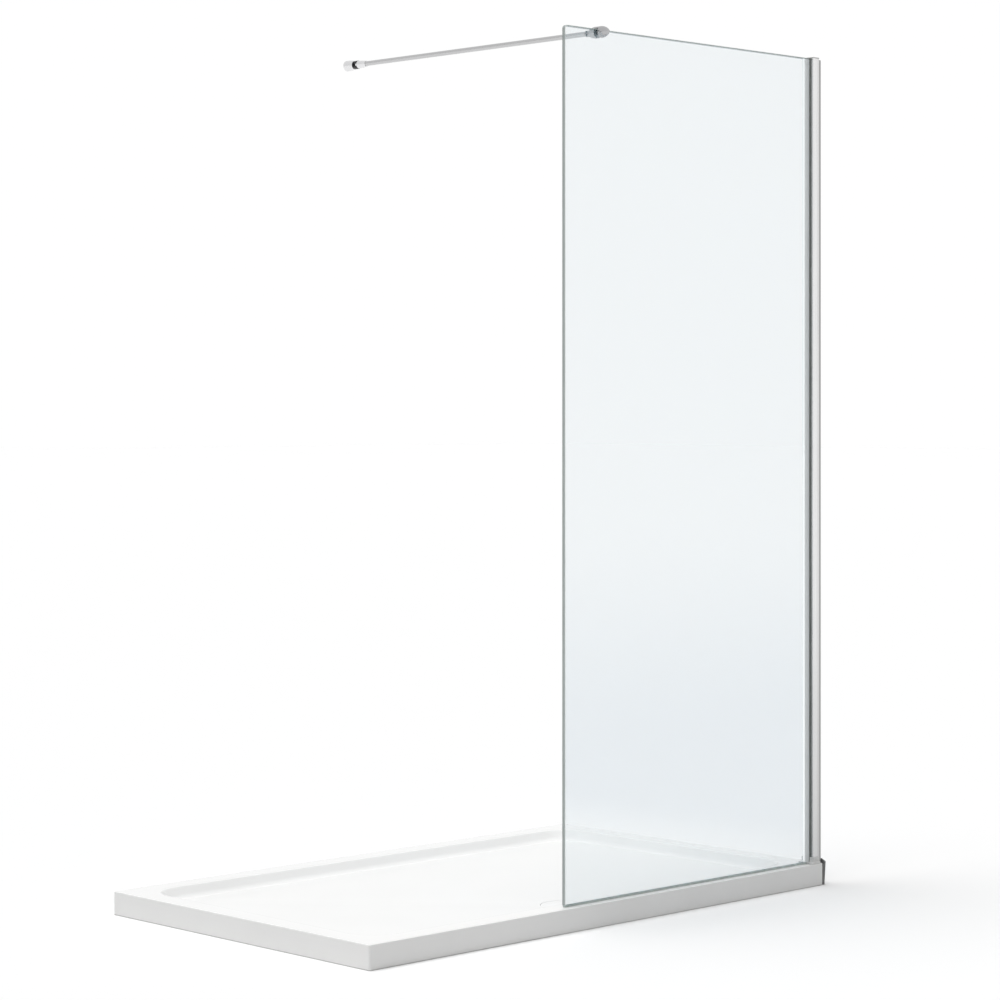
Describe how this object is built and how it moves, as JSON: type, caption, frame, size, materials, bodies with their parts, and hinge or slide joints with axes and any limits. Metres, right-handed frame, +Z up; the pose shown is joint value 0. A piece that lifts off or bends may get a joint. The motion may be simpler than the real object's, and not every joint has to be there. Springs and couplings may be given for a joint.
{
  "type": "walk-in shower screen",
  "caption": "Glass walk-in screen in a slim wall profile on a low tray, steadied by a round bar that swivels at both ends.",
  "frame": {"origin": "middle of the tray's underside", "axes": "+Z up; +X to the wall that carries the profile, the walk-in side being -X; +Y from the screen to the wall that carries the bar"},
  "size_m": [1.5105, 0.907, 2.0565],
  "materials": {
    "tray_white": "gloss",
    "clear_glass": "clear",
    "profile_metal": "polished",
    "bright_metal": "polished",
    "waste_steel": "satin",
    "screw_steel": "satin",
    "trim_grey": "satin",
    "strainer_grey": "satin",
    "gasket_grey": "matt",
    "seal_dark": "matt",
    "knuckle_black": "satin"
  },
  "bodies": {
    "tray_and_channel": {"tray": "tray_white", "end_seal": "seal_dark", "waste_seal": "seal_dark", "waste_flange": "waste_steel", "wall_channel": "profile_metal", "channel_plug": "trim_grey"},
    "glazed_panel": {"glass_panel": "clear_glass", "glass_profile": "profile_metal", "front_gasket": "gasket_grey", "rear_gasket": "gasket_grey", "profile_cap": "trim_grey", "profile_foot": "trim_grey", "sill_seal": "gasket_grey", "side_screws": "screw_steel", "side_plates": "screw_steel", "screw_caps": "trim_grey"},
    "glass_clamp": {"clamp_body": "bright_metal", "clamp_liner": "seal_dark", "grip_screws": "screw_steel", "glass_pivot_pin": "screw_steel"},
    "bar": {"bar_end_plug": "bright_metal", "support_bar": "bright_metal", "wall_socket": "bright_metal", "socket_set_screw": "screw_steel"},
    "wall_bracket": {"wall_knuckle": "knuckle_black", "wall_pivot_pin": "screw_steel", "wall_flange": "bright_metal", "fixing_plate": "screw_steel", "flange_set_screw": "screw_steel"},
    "waste_insert": {"waste_cover": "tray_white", "hair_strainer": "strainer_grey"}
  },
  "joints": [
    {"name": "profile_adjust", "type": "slide", "parent": "tray_and_channel", "child": "glazed_panel", "axis": [1, 0, 0], "range_m": [-0.01, 0.006]},
    {"name": "clamp_slide", "type": "slide", "parent": "glazed_panel", "child": "glass_clamp", "axis": [1, 0, 0], "range_m": [-0.09, 0.4]},
    {"name": "glass_swivel", "type": "hinge", "parent": "glass_clamp", "child": "bar", "pos_m": [-0.028, -0.397, 2.043], "axis": [0, 0, 1], "range_deg": [-45, 45]},
    {"name": "wall_swivel", "type": "hinge", "parent": "bar", "child": "wall_bracket", "pos_m": [-0.028, 0.413, 2.043], "axis": [0, 0, 1], "range_deg": [-45, 45]},
    {"name": "waste_lift", "type": "slide", "parent": "tray_and_channel", "child": "waste_insert", "axis": [0, 0, 1], "range_m": [0, 0.05]}
  ]
}
